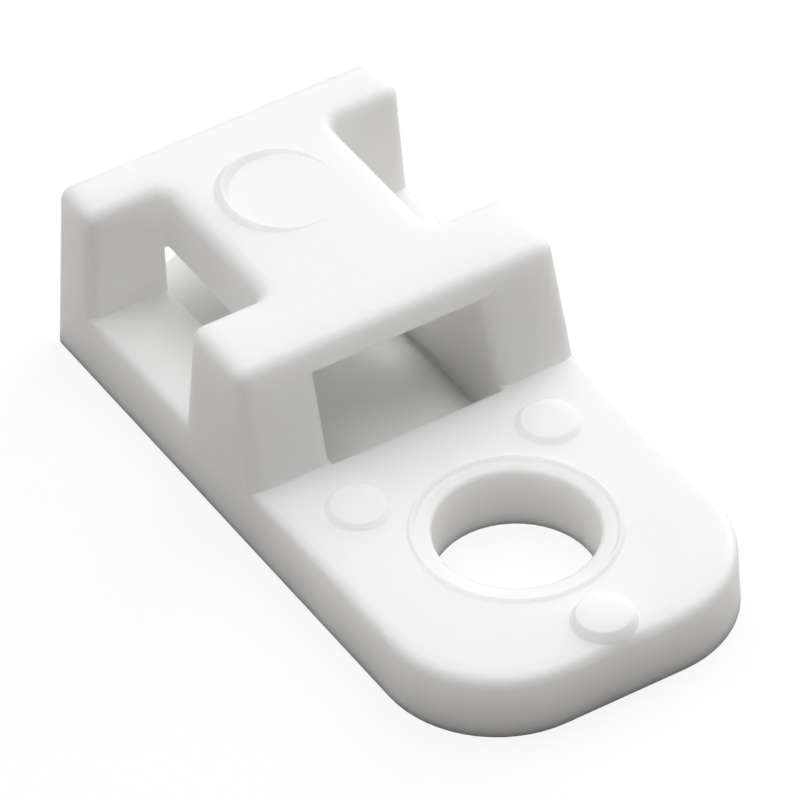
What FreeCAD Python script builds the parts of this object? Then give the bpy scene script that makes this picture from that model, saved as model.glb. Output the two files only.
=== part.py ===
import FreeCAD, Part

import math
import os

# Screw-on cable tie mount, moulded in one piece from natural nylon.
# All sizes are millimetres. The origin is on the axis of the screw hole, in the flat underside.
# +X runs from the tie saddle towards the screw end, +Y across the mount, +Z up from the underside.

# Base plate, with the screw hole near its rounded end
base_width = 10.4
base_thickness = 1.9
hole_to_front_end = 5.25
hole_to_rear_end = 15.12
front_corner_radius = 3.35
base_edge_radius = 0.3
screw_hole_diameter = 4.5
hole_rim_radius = 0.12

# Saddle: two walls across the plate, joined on top by a narrower bridge
mount_height = 5.35
hole_to_front_wall = 4.85
front_wall_thickness = 3.62
rear_wall_thickness = 1.97
front_wall_lean = 15.0
rear_end_lean = 0.8
side_lean = 2.2
slot_end_lean = 4.0
saddle_edge_radius = 0.42
slot_corner_radius = 0.35

# Tie passages: one lengthways through both walls, one across under the bridge
tie_channel_width = 5.3
tie_gap_height = 1.45
lintel_thickness = 0.85
passage_mouth_radius = 0.4
passage_edge_radius = 0.15

# Crowned floor of the lengthways channel, which lifts the tie towards the bridge
channel_floor_thickness = 0.45
crown_rise = 1.0
crown_gutter = 0.08
crown_rear_fall = 2.4

# Marks that the mould leaves: three raised ejector pads on the plate, given as (x, y, height), a
# low ring round the screw hole, and a ring on the bridge that leans, so that one side fades out
ejector_pads = [(-2.96, -3.05, 0.13), (-3.03, 3.02, 0.13), (4.2, 0.0, 0.28)]
pad_radius = 0.92
pad_side_run = 0.16
pad_edge_radius = 0.05
hole_to_ring = 0.54
hole_ring_height = 0.1
bridge_ring_radius = 1.62
rear_slot_to_bridge_ring = 1.6
bridge_ring_height = 0.1
bridge_ring_lean = 4.2
bridge_ring_high_side = 235.0
ring_crest_width = 0.06
ring_side_slope = 52.0
mark_depth = 0.2

# Room by which a cutter runs past a face, or one body reaches into another
overrun = 1.0


def lean_offset(degrees, height):
    """How far a face that leans by this angle moves over this height."""
    return math.tan(math.radians(degrees)) * height


# Places that several features share
front_wall_x = -hole_to_front_wall
front_slot_x = front_wall_x - front_wall_thickness
rear_end_x = -hole_to_rear_end
rear_slot_x = rear_end_x + rear_wall_thickness
half_channel = tie_channel_width / 2
bridge_underside = base_thickness + tie_gap_height
lintel_underside = mount_height - lintel_thickness
tolerance = 1e-6


def vec(x, y, z):
    return FreeCAD.Vector(x, y, z)


def edges_where(shape, test):
    """Edges of the shape whose bounding box passes the test."""
    return [edge for edge in shape.Edges if test(edge.BoundBox)]


def plan_loop(corners, z):
    """Closed wire at one height. Each corner is (x, y, radius); a radius of zero leaves it sharp."""
    points = [vec(x, y, z) for x, y, radius in corners]
    starts = []
    ends = []
    arcs = []
    for index, (x, y, radius) in enumerate(corners):
        here = points[index]
        to_last = (points[index - 1] - here).normalize()
        to_next = (points[(index + 1) % len(points)] - here).normalize()
        half_angle = to_last.getAngle(to_next) / 2
        reach = radius / math.tan(half_angle)
        starts.append(here + to_last * reach)
        ends.append(here + to_next * reach)
        if radius > 0:
            bisector = (to_last + to_next).normalize()
            middle = here + bisector * (radius / math.sin(half_angle) - radius)
            arcs.append(Part.Arc(starts[-1], middle, ends[-1]).toShape())
        else:
            arcs.append(None)
    edges = []
    for index, arc in enumerate(arcs):
        if arc is not None:
            edges.append(arc)
        following = (index + 1) % len(arcs)
        edges.append(Part.LineSegment(ends[index], starts[following]).toShape())
    return Part.Wire(edges)


def prism_across(profile, half_width):
    """Solid with the given (x, z) outline, running across the mount from -half_width to +half_width."""
    loop = [vec(x, -half_width, z) for x, z in profile]
    return Part.Face(Part.makePolygon(loop + [loop[0]])).extrude(vec(0, 2 * half_width, 0))


def base_plate():
    """Flat plate with two large front corners; its upper edge is rounded along both sides and the front."""
    rear = rear_end_x + rear_wall_thickness / 2
    loops = []
    for z in (0.0, base_thickness):
        half = base_width / 2 - lean_offset(side_lean, z)
        front = hole_to_front_end - lean_offset(side_lean, z)
        corners = [(rear, -half, 0), (front, -half, front_corner_radius),
                   (front, half, front_corner_radius), (rear, half, 0)]
        loops.append(plan_loop(corners, z))
    plate = Part.makeLoft(loops, True, True)
    upper_edges = edges_where(plate, lambda box: box.ZMin > base_thickness - tolerance
                              and box.XMax > rear + tolerance)
    plate = plate.makeFillet(base_edge_radius, upper_edges)

    # the channel cuts the plate down to its floor, from the rear end to a step below the front wall's face
    channel = Part.makeBox(front_wall_x - rear + overrun, tie_channel_width, base_thickness,
                           vec(rear - overrun, -half_channel, channel_floor_thickness))
    plate = plate.cut(channel)
    channel_edges = edges_where(plate, lambda box: box.ZMin > base_thickness - tolerance
                                and max(-box.YMin, box.YMax) < half_channel + tolerance
                                and box.XMax < front_wall_x + tolerance and box.XMax > rear + tolerance)
    return plate.makeFillet(passage_edge_radius, channel_edges)


def side_slot(side):
    """Space between the two walls on one side of the bridge; its ends lean so that it widens upwards."""
    outer = side * (base_width / 2 + overrun)
    inner = side * half_channel
    stages = [(-overrun, bridge_underside, 0.0),
              (bridge_underside, mount_height + overrun, slot_corner_radius)]
    parts = []
    for low, high, radius in stages:
        loops = []
        for z in (low, high):
            widening = lean_offset(slot_end_lean, z - base_thickness)
            rear = rear_slot_x - widening
            front = front_slot_x + widening
            corners = [(rear, inner, radius), (front, inner, radius), (front, outer, 0), (rear, outer, 0)]
            loops.append(plan_loop(corners, z))
        parts.append(Part.makeLoft(loops, True, True))
    return parts[0].fuse(parts[1]).removeSplitter()


def tie_passage():
    """Space of the lengthways tie channel: its roof is lowest under the bridge and rises to both lintels."""
    rear_mouth = rear_end_x + lean_offset(rear_end_lean, lintel_underside)
    front_mouth = front_wall_x - lean_offset(front_wall_lean, lintel_underside - base_thickness)
    profile = [(rear_end_x - overrun, channel_floor_thickness), (rear_end_x - overrun, lintel_underside),
               (rear_mouth, lintel_underside), (rear_slot_x - slot_corner_radius, bridge_underside),
               (front_slot_x + slot_corner_radius, bridge_underside), (front_mouth, lintel_underside),
               (front_wall_x + overrun, lintel_underside), (front_wall_x + overrun, channel_floor_thickness)]
    return prism_across(profile, half_channel)


def bridge_rounding(side):
    """Sliver that rounds one lower edge of the bridge, between the leaning ends of the slots."""
    face = side * half_channel
    inner = face - side * passage_edge_radius
    low = bridge_underside
    high = low + passage_edge_radius
    start = rear_slot_x - overrun
    length = front_slot_x + overrun - start
    halfway = passage_edge_radius * math.sin(math.radians(45))
    arc = Part.Arc(vec(start, inner, low), vec(start, inner + side * halfway, high - halfway),
                   vec(start, face, high))
    outer = face + side * overrun
    square = Part.makePolygon([vec(start, face, high), vec(start, outer, high),
                               vec(start, outer, low - overrun), vec(start, inner, low - overrun),
                               vec(start, inner, low)])
    bar = Part.Face(Part.Wire([arc.toShape()] + square.Edges)).extrude(vec(length, 0, 0))
    widening_low = lean_offset(slot_end_lean, low - overrun - base_thickness)
    widening_high = lean_offset(slot_end_lean, high + overrun - base_thickness)
    between_walls = prism_across([(rear_slot_x - widening_low, low - overrun),
                                  (rear_slot_x - widening_high, high + overrun),
                                  (front_slot_x + widening_high, high + overrun),
                                  (front_slot_x + widening_low, low - overrun)], base_width)
    return bar.common(between_walls)


def saddle():
    """Both walls and the bridge: an I-shaped block with leaning faces, rounded edges and the tie passages."""
    loops = []
    for z in (0.0, mount_height):
        half = base_width / 2 - lean_offset(side_lean, z)
        rear = rear_end_x + lean_offset(rear_end_lean, z)
        front = front_wall_x - lean_offset(front_wall_lean, z - base_thickness)
        loops.append(plan_loop([(rear, -half, 0), (front, -half, 0), (front, half, 0), (rear, half, 0)], z))
    block = Part.makeLoft(loops, True, True)
    for side in (-1, 1):
        block = block.cut(side_slot(side))
    half_at_top = base_width / 2 - lean_offset(side_lean, mount_height)
    top_edges = edges_where(block, lambda box: box.ZMin > mount_height - tolerance)
    outer_uprights = edges_where(block, lambda box: box.ZLength > mount_height - tolerance
                                 and max(-box.YMin, box.YMax) > half_at_top)
    block = block.makeFillet(saddle_edge_radius, top_edges + outer_uprights)

    # the tie passages, rounded where the tie runs over their edges
    block = block.cut(tie_passage())
    for side in (-1, 1):
        block = block.cut(bridge_rounding(side))
    block = block.removeSplitter()
    mouth_uprights = edges_where(block, lambda box: abs(box.ZMax - lintel_underside) < tolerance
                                 and box.ZMin < channel_floor_thickness + tolerance
                                 and max(-box.YMin, box.YMax) < half_channel + tolerance)
    lintel_edges = edges_where(block, lambda box: abs(box.ZMax - lintel_underside) < tolerance
                               and box.ZLength < tolerance and box.YLength > half_channel)
    block = block.makeFillet(passage_mouth_radius, mouth_uprights + lintel_edges)
    post_uprights = edges_where(block, lambda box: abs(box.ZMin - channel_floor_thickness) < tolerance
                                and abs(box.ZMax - bridge_underside) < tolerance
                                and box.YLength < tolerance)
    return block.makeFillet(passage_edge_radius, post_uprights)


def crown():
    """Crowned piece of the channel floor: steep beside the walls, level along most of the middle."""
    foot = channel_floor_thickness / 2
    top = channel_floor_thickness + crown_rise
    half = half_channel - crown_gutter
    rear = rear_end_x + rear_wall_thickness / 8
    front = front_wall_x + overrun

    # cross-section: the height falls with the cube of the distance from the middle
    points = []
    for step in range(-6, 7):
        across = step / 6
        points.append(vec(rear, half * across, channel_floor_thickness + crown_rise * (1 - abs(across) ** 3)))
    curve = Part.BSplineCurve()
    curve.interpolate(points)
    lower = Part.makePolygon([points[-1], vec(rear, half, foot), vec(rear, -half, foot), points[0]])
    arch = Part.Face(Part.Wire([curve.toShape()] + lower.Edges)).extrude(vec(front - rear, 0, 0))

    # long section: level, then an arc that falls to the channel floor just inside the rear end
    fall_start = rear + crown_rear_fall
    arc_radius = (crown_rear_fall ** 2 + crown_rise ** 2) / (2 * crown_rise)
    half_angle = math.asin(crown_rear_fall / arc_radius) / 2
    side = -half_channel
    middle = vec(fall_start - arc_radius * math.sin(half_angle), side,
                 top - arc_radius * (1 - math.cos(half_angle)))
    arc = Part.Arc(vec(rear, side, channel_floor_thickness), middle, vec(fall_start, side, top)).toShape()
    rest = Part.makePolygon([vec(fall_start, side, top), vec(front + overrun, side, top),
                             vec(front + overrun, side, 0), vec(rear, side, 0),
                             vec(rear, side, channel_floor_thickness)])
    long_section = Part.Face(Part.Wire([arc] + rest.Edges)).extrude(vec(0, tie_channel_width, 0))
    return arch.common(long_section)


def ejector_pad(x, y, height):
    """Raised round pad with a sloping side, on a stem that reaches down into the plate."""
    stem = Part.makeCylinder(pad_radius, base_edge_radius, vec(x, y, base_thickness - base_edge_radius))
    cone = Part.makeCone(pad_radius, pad_radius - pad_side_run, height, vec(x, y, base_thickness))
    top_edges = edges_where(cone, lambda box: box.ZMin > base_thickness + height - tolerance)
    return stem.fuse(cone.makeFillet(pad_edge_radius, top_edges))


def low_ring(radius, height):
    """Ring with a narrow crest and sloping sides, which reaches down below the level z = 0."""
    inner_crest = radius - ring_crest_width / 2
    outer_crest = radius + ring_crest_width / 2
    spread = (height + mark_depth) / math.tan(math.radians(ring_side_slope))
    profile = [vec(inner_crest - spread, 0, -mark_depth), vec(inner_crest, 0, height),
               vec(outer_crest, 0, height), vec(outer_crest + spread, 0, -mark_depth)]
    return Part.Face(Part.makePolygon(profile + [profile[0]])).revolve(vec(0, 0, 0), vec(0, 0, 1), 360)


def hole_ring():
    """The ring round the screw hole."""
    ring = low_ring(screw_hole_diameter / 2 + hole_to_ring, hole_ring_height)
    ring.translate(vec(0, 0, base_thickness))
    return ring


def bridge_ring():
    """The ring on the rear half of the bridge, leaning so that one side stands proud and the other sinks."""
    high_side = math.radians(bridge_ring_high_side)
    ring = low_ring(bridge_ring_radius, bridge_ring_height)
    ring.rotate(vec(0, 0, 0), vec(math.sin(high_side), -math.cos(high_side), 0), bridge_ring_lean)
    ring.translate(vec(rear_slot_x + rear_slot_to_bridge_ring, 0, mount_height))
    return ring


def mount_body():
    """The whole mount as one solid."""
    body = base_plate().fuse([saddle(), crown()])
    body = body.fuse([ejector_pad(x, y, height) for x, y, height in ejector_pads])
    body = body.fuse([hole_ring(), bridge_ring()])
    screw_hole = Part.makeCylinder(screw_hole_diameter / 2, base_thickness + 2 * overrun, vec(0, 0, -overrun))
    body = body.cut(screw_hole).removeSplitter()
    upper_rim = edges_where(body, lambda box: abs(box.XLength - screw_hole_diameter) < tolerance
                            and box.ZMin > base_thickness - tolerance)
    return body.makeFillet(hole_rim_radius, upper_rim)


os.makedirs("parts", exist_ok=True)
mount_body().exportStep("parts/mount_body.step")
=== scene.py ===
import math

import bpy
from mathutils import Matrix, Vector

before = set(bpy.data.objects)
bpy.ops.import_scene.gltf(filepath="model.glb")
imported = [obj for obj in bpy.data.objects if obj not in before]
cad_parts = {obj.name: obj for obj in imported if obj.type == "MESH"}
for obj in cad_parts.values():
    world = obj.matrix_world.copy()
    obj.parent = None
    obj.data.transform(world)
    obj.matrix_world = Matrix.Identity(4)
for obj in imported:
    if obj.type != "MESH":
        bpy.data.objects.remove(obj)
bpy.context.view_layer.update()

# The view of the photograph. The camera looks down on the screw end and one long side of the
# mount. Its place was found by fitting the edges of the mount, in radii of the screw hole: the
# hole's radius is SCREW_HOLE_PX pixels in a picture PHOTO_PX wide, at the camera's distance.
MM = 0.001
SCREW_HOLE_RADIUS = 2.25 * MM
VIEW_AZIMUTH = math.radians(57.85)
VIEW_ELEVATION = math.radians(41.97)
VIEW_ROLL = math.radians(0.654)
VIEW_TO_THE_LEFT = 1.3452 * SCREW_HOLE_RADIUS
VIEW_UPWARDS = 2.1486 * SCREW_HOLE_RADIUS
VIEW_DISTANCE = 109.9 * SCREW_HOLE_RADIUS
SCREW_HOLE_PX = 84.914
PHOTO_PX = 800
SENSOR_WIDTH = 36

scene = bpy.context.scene
camera_data = bpy.data.cameras.new("photo_view")
camera_data.sensor_width = SENSOR_WIDTH
camera_data.lens = SENSOR_WIDTH * SCREW_HOLE_PX / PHOTO_PX * VIEW_DISTANCE / SCREW_HOLE_RADIUS
camera_data.clip_start = 1 * MM
camera = bpy.data.objects.new("photo_view", camera_data)
right = Vector((math.cos(VIEW_AZIMUTH), math.sin(VIEW_AZIMUTH), 0))
towards_camera = Vector((math.sin(VIEW_AZIMUTH) * math.cos(VIEW_ELEVATION),
                         -math.cos(VIEW_AZIMUTH) * math.cos(VIEW_ELEVATION),
                         math.sin(VIEW_ELEVATION)))
up = towards_camera.cross(right)
viewpoint = towards_camera * VIEW_DISTANCE - right * VIEW_TO_THE_LEFT + up * VIEW_UPWARDS
turned = Matrix((right, up, towards_camera)).transposed() @ Matrix.Rotation(-VIEW_ROLL, 3, "Z")
camera.matrix_world = Matrix.Translation(viewpoint) @ turned.to_4x4()
scene.collection.objects.link(camera)
scene.camera = camera

# The mount: one injection moulding in natural nylon 6/6, from a steel mould whose faces were
# finely spark eroded. It came off the mould on ejector pins, which left the low round pads.
# Its shape is the CAD solid's own, so the solid stays and only its material is made here.
NYLON_WHITE = "#fbfbf9"
NYLON_CLOUD = "#f7f6f3"
NYLON_IOR = 1.53
SATIN_ROUGHNESS = 0.42
MATT_ROUGHNESS = 0.52
LIGHT_DEPTH = 1.4 * MM
RED_GREEN_BLUE_DEPTH = (1.0, 0.97, 0.93)
CLOUD_SIZE = 4.0 * MM
SINK_SIZE = 2.5 * MM
SINK_DEPTH = 0.05 * MM
SINK_STRENGTH = 0.15
GRAIN_SIZE = 0.06 * MM
GRAIN_DEPTH = 0.01 * MM
GRAIN_STRENGTH = 0.12
NOISE_LOW = 0.3
NOISE_HIGH = 0.7


def linear(hex_colour):
    """Scene-linear colour of an sRGB hex value."""
    channels = [int(hex_colour[i:i + 2], 16) / 255 for i in (1, 3, 5)]
    return [c / 12.92 if c <= 0.04045 else ((c + 0.055) / 1.055) ** 2.4 for c in channels] + [1]


def add_node(tree, kind, inputs=None, **settings):
    """Adds a node with its settings. An input is a value, or the socket that it is linked from."""
    node = tree.nodes.new(kind)
    for name, value in settings.items():
        setattr(node, name, value)
    for name, value in (inputs or {}).items():
        if isinstance(value, bpy.types.NodeSocket):
            tree.links.new(value, node.inputs[name])
        else:
            node.inputs[name].default_value = value
    return node


# Natural nylon is milky: light goes in a millimetre or two and comes out again, red a little
# further than blue, so thin walls and edges glow a little and the shaded sides darken softly
# towards the floor. The eroded mould gives it a satin skin, and its colour is slightly cloudy.
# The real grain is near 0.02 mm, which is under a pixel here, so it is drawn three times as
# coarse. The moulded faces also sink a little as they cool, in shallow waves a few millimetres
# long that the gloss follows. Inputs 6 and 7 of a colour mix are its two colours.
nylon = bpy.data.materials.new("natural_nylon_spark_eroded")
nylon.use_nodes = True
tree = nylon.node_tree
tree.nodes.clear()
point = add_node(tree, "ShaderNodeTexCoord").outputs["Object"]
cloud = add_node(tree, "ShaderNodeTexNoise", {"Vector": point, "Scale": 1 / CLOUD_SIZE, "Detail": 3.0})
colour = add_node(tree, "ShaderNodeMix",
                  {0: cloud.outputs["Fac"], 6: linear(NYLON_WHITE), 7: linear(NYLON_CLOUD)},
                  data_type="RGBA")
grain = add_node(tree, "ShaderNodeTexNoise", {"Vector": point, "Scale": 1 / GRAIN_SIZE, "Detail": 2.0})
sink = add_node(tree, "ShaderNodeTexNoise", {"Vector": point, "Scale": 1 / SINK_SIZE, "Detail": 1.0})
gloss = add_node(tree, "ShaderNodeMapRange",
                 {"Value": sink.outputs["Fac"], "From Min": NOISE_LOW, "From Max": NOISE_HIGH,
                  "To Min": SATIN_ROUGHNESS, "To Max": MATT_ROUGHNESS})
waves = add_node(tree, "ShaderNodeBump",
                 {"Height": sink.outputs["Fac"], "Strength": SINK_STRENGTH, "Distance": SINK_DEPTH})
skin = add_node(tree, "ShaderNodeBump",
                {"Height": grain.outputs["Fac"], "Strength": GRAIN_STRENGTH, "Distance": GRAIN_DEPTH,
                 "Normal": waves.outputs["Normal"]})
shader = add_node(tree, "ShaderNodeBsdfPrincipled",
                  {"Base Color": colour.outputs[2], "Roughness": gloss.outputs["Result"],
                   "IOR": NYLON_IOR, "Subsurface Weight": 1.0,
                   "Subsurface Radius": RED_GREEN_BLUE_DEPTH, "Subsurface Scale": LIGHT_DEPTH,
                   "Normal": skin.outputs["Normal"]})
add_node(tree, "ShaderNodeOutputMaterial", {"Surface": shader.outputs["BSDF"]})

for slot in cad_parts["mount_body"].material_slots:
    slot.material = nylon

# The floor: a wide sheet of matt, slightly warm card. It keeps the mount's soft shadow and tints
# the shaded faces a little, and to the camera it also glows, as white as the photograph's
# background. It lies a hair below the flat underside, so that the two faces don't coincide.
CARD_WHITE = "#dad7d2"
CARD_HALF_WIDTH = 1.0
CARD_GAP = 0.01 * MM
GLOW_WHITE = "#fdfeff"
GLOW_SHARE = 0.72
GLOW_STRENGTH = 1.15


def seen_directly(tree):
    """A socket that is 1 for rays from the camera and off a gloss, and 0 for all other rays."""
    path = add_node(tree, "ShaderNodeLightPath")
    return add_node(tree, "ShaderNodeMath",
                    {0: path.outputs["Is Camera Ray"], 1: path.outputs["Is Glossy Ray"]},
                    operation="MAXIMUM").outputs[0]


card_mesh = bpy.data.meshes.new("white_card")
corners = [(-1, -1), (1, -1), (1, 1), (-1, 1)]
card_mesh.from_pydata([(CARD_HALF_WIDTH * x, CARD_HALF_WIDTH * y, -CARD_GAP) for x, y in corners],
                      [], [(0, 1, 2, 3)])
card_floor = bpy.data.objects.new("white_card", card_mesh)
scene.collection.objects.link(card_floor)
card = bpy.data.materials.new("matt_white_card")
card.use_nodes = True
tree = card.node_tree
tree.nodes.clear()
glow_share = add_node(tree, "ShaderNodeMath", {0: seen_directly(tree), 1: GLOW_SHARE},
                      operation="MULTIPLY")
matt = add_node(tree, "ShaderNodeBsdfDiffuse", {"Color": linear(CARD_WHITE)})
glow = add_node(tree, "ShaderNodeEmission", {"Color": linear(GLOW_WHITE), "Strength": GLOW_STRENGTH})
both = add_node(tree, "ShaderNodeMixShader",
                {"Fac": glow_share.outputs[0], 1: matt.outputs[0], 2: glow.outputs[0]})
add_node(tree, "ShaderNodeOutputMaterial", {"Surface": both.outputs[0]})
card_mesh.materials.append(card)

# The light: a bright soft tent, each lamp as wide as a big diffuser. Most of it comes from above,
# the far side and the rear end, so the faces towards the camera lie in soft shade. A lamp's
# numbers are its azimuth from +X towards +Y, elevation and width in degrees, and its strength.
LAMPS = [("overhead", 0, 90, 50, 0.75),
         ("screw_end", 0, 52, 50, 0.13),
         ("far_corner", 45, 52, 50, 0.14),
         ("far_side", 90, 52, 50, 0.46),
         ("far_rear", 135, 52, 50, 0.69),
         ("rear_end", 180, 52, 50, 0.19),
         ("near_rear", 225, 52, 50, 0.55),
         ("near_corner", 315, 52, 50, 0.09),
         ("low_far_side", 112, 18, 40, 1.0),
         ("low_near_side", 247, 18, 40, 0.11)]
for name, azimuth, elevation, width, strength in LAMPS:
    lamp_data = bpy.data.lights.new(name, "SUN")
    lamp_data.energy = strength
    lamp_data.angle = math.radians(width)
    lamp = bpy.data.objects.new(name, lamp_data)
    height = math.radians(elevation)
    turn = math.radians(azimuth)
    towards_lamp = Vector((math.cos(turn) * math.cos(height), math.sin(turn) * math.cos(height),
                           math.sin(height)))
    lamp.rotation_euler = towards_lamp.to_track_quat("Z", "Y").to_euler()
    scene.collection.objects.link(lamp)

tent = bpy.data.worlds.new("white_tent")
tent.use_nodes = True
tree = tent.node_tree
tree.nodes.clear()
backdrop = add_node(tree, "ShaderNodeBackground",
                    {"Color": (1, 1, 1, 1), "Strength": seen_directly(tree)})
add_node(tree, "ShaderNodeOutputWorld", {"Surface": backdrop.outputs[0]})
scene.world = tent
scene.view_settings.view_transform = "Standard"
